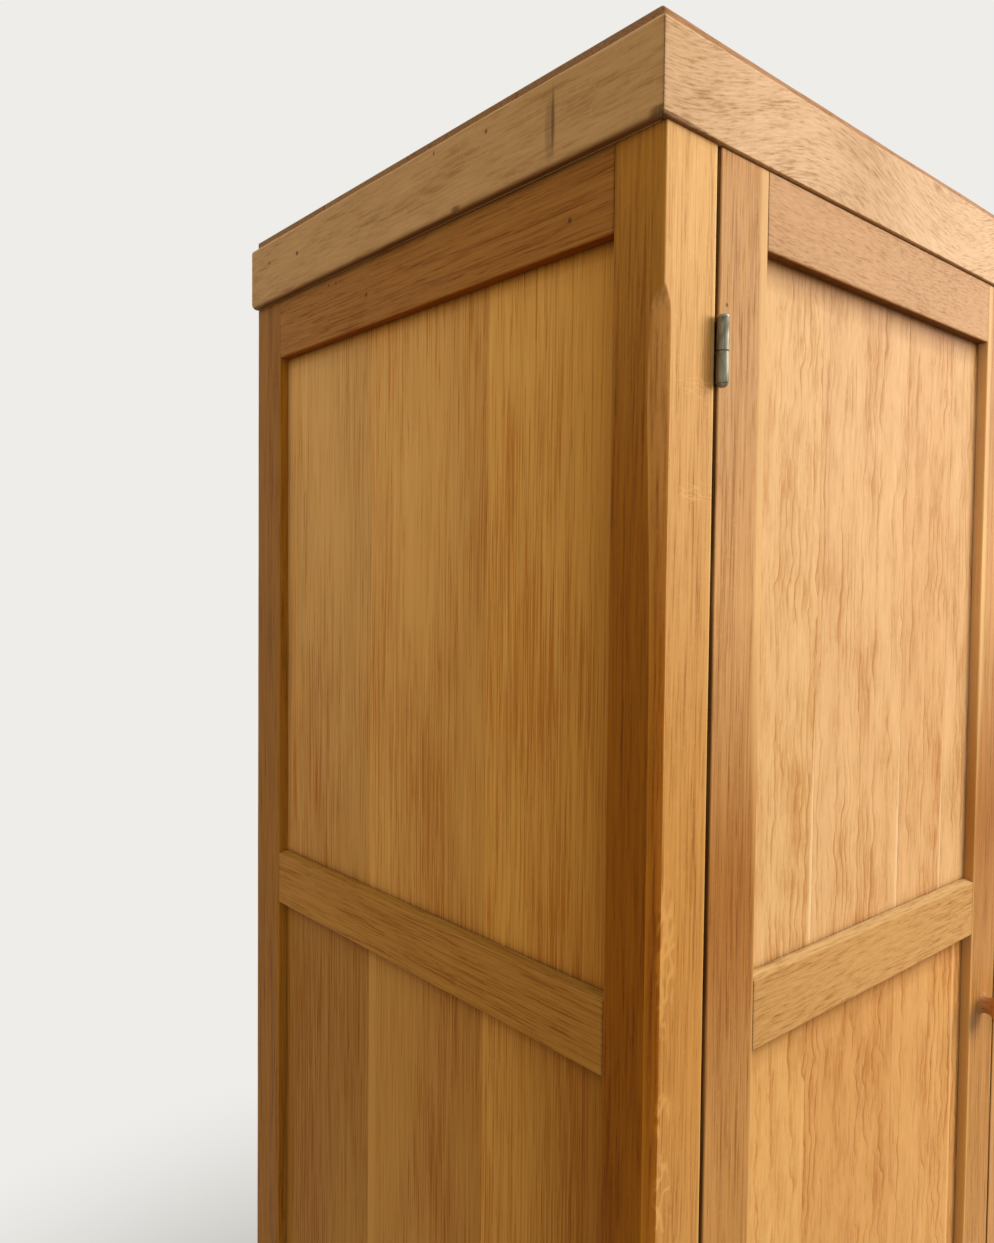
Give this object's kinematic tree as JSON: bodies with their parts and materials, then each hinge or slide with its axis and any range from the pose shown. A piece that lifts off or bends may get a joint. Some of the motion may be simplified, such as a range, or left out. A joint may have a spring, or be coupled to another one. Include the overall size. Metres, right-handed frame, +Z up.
{
  "type": "linen press",
  "caption": "Oak linen press with frame-and-panel sides, hinged panelled doors over long drawers, a plain mitred cornice and stop-chamfered corner posts that run down as legs.",
  "frame": {"origin": "on the floor, at the middle of the outline seen from above, knobs included", "axes": "+Z up, front towards -Y, +X to the right as seen from the front"},
  "size_m": [1.086, 0.589, 1.832],
  "materials": {
    "oak_frame": "waxed oak",
    "oak_panel": "waxed oak, wide boards",
    "oak_cornice": "waxed oak, worn edges",
    "oak_turned": "turned and waxed oak",
    "plain_wood": "unfinished inner wood",
    "aged_steel": "aged, dull"
  },
  "bodies": {
    "case": {"back_boards": "plain_wood", "back_rails": "plain_wood", "case_hinge_leaves": "aged_steel", "case_hinge_screws": "aged_steel", "cornice_front": "oak_cornice", "cornice_left": "oak_cornice", "cornice_right": "oak_cornice", "cupboard_floor": "plain_wood", "drawer_runners": "plain_wood", "front_bottom_rail": "oak_frame", "front_drawer_rail": "oak_frame", "front_stop_rail": "oak_frame", "front_waist_rail": "oak_frame", "hinge_pins": "aged_steel", "left_back_post": "oak_frame", "left_front_post": "oak_frame", "left_lower_side_panel": "oak_panel", "left_middle_side_panel": "oak_panel", "left_side_rails": "oak_frame", "left_upper_side_panel": "oak_panel", "right_back_post": "oak_frame", "right_front_post": "oak_frame", "right_lower_side_panel": "oak_panel", "right_middle_side_panel": "oak_panel", "right_side_rails": "oak_frame", "right_upper_side_panel": "oak_panel", "shelf_bearers": "plain_wood", "shelves": "plain_wood", "top_board": "oak_cornice"},
    "left_door": {"left_bolt_plate": "aged_steel", "left_door_bottom_rail": "oak_frame", "left_door_hinge_leaves": "aged_steel", "left_door_hinge_screws": "aged_steel", "left_door_hinge_stile": "oak_frame", "left_door_knob": "oak_turned", "left_door_lower_panel": "oak_panel", "left_door_meeting_stile": "oak_frame", "left_door_mid_rail": "oak_frame", "left_door_top_rail": "oak_frame", "left_door_upper_panel": "oak_panel"},
    "right_door": {"right_door_bottom_rail": "oak_frame", "right_door_hinge_leaves": "aged_steel", "right_door_hinge_screws": "aged_steel", "right_door_hinge_stile": "oak_frame", "right_door_lower_panel": "oak_panel", "right_door_meeting_stile": "oak_frame", "right_door_mid_rail": "oak_frame", "right_door_top_rail": "oak_frame", "right_door_upper_panel": "oak_panel"},
    "left_bolt": {"left_bolt": "aged_steel"},
    "turn_catch": {"turn_knob": "oak_turned", "turn_tongue": "aged_steel"},
    "upper_drawer": {"upper_drawer_bottom": "plain_wood", "upper_drawer_box": "plain_wood", "upper_drawer_front": "oak_frame", "upper_drawer_knobs": "oak_turned"},
    "lower_drawer": {"lower_drawer_bottom": "plain_wood", "lower_drawer_box": "plain_wood", "lower_drawer_front": "oak_frame", "lower_drawer_knobs": "oak_turned"}
  },
  "joints": [
    {"name": "left_door_swing", "type": "hinge", "parent": "case", "child": "left_door", "pos_m": [-0.4805, -0.271, 1], "axis": [0, 0, -1], "range_deg": [0, 170]},
    {"name": "right_door_swing", "type": "hinge", "parent": "case", "child": "right_door", "pos_m": [0.4805, -0.271, 1], "axis": [0, 0, 1], "range_deg": [0, 170]},
    {"name": "left_bolt_slide", "type": "slide", "parent": "left_door", "child": "left_bolt", "axis": [0, 0, 1], "range_m": [0, 0.022]},
    {"name": "turn_catch_turn", "type": "hinge", "parent": "right_door", "child": "turn_catch", "pos_m": [0.029, -0.2445, 1.054], "axis": [0, 1, 0], "range_deg": [0, 90]},
    {"name": "upper_drawer_slide", "type": "slide", "parent": "case", "child": "upper_drawer", "axis": [0, -1, 0], "range_m": [0, 0.36]},
    {"name": "lower_drawer_slide", "type": "slide", "parent": "case", "child": "lower_drawer", "axis": [0, -1, 0], "range_m": [0, 0.36]}
  ]
}
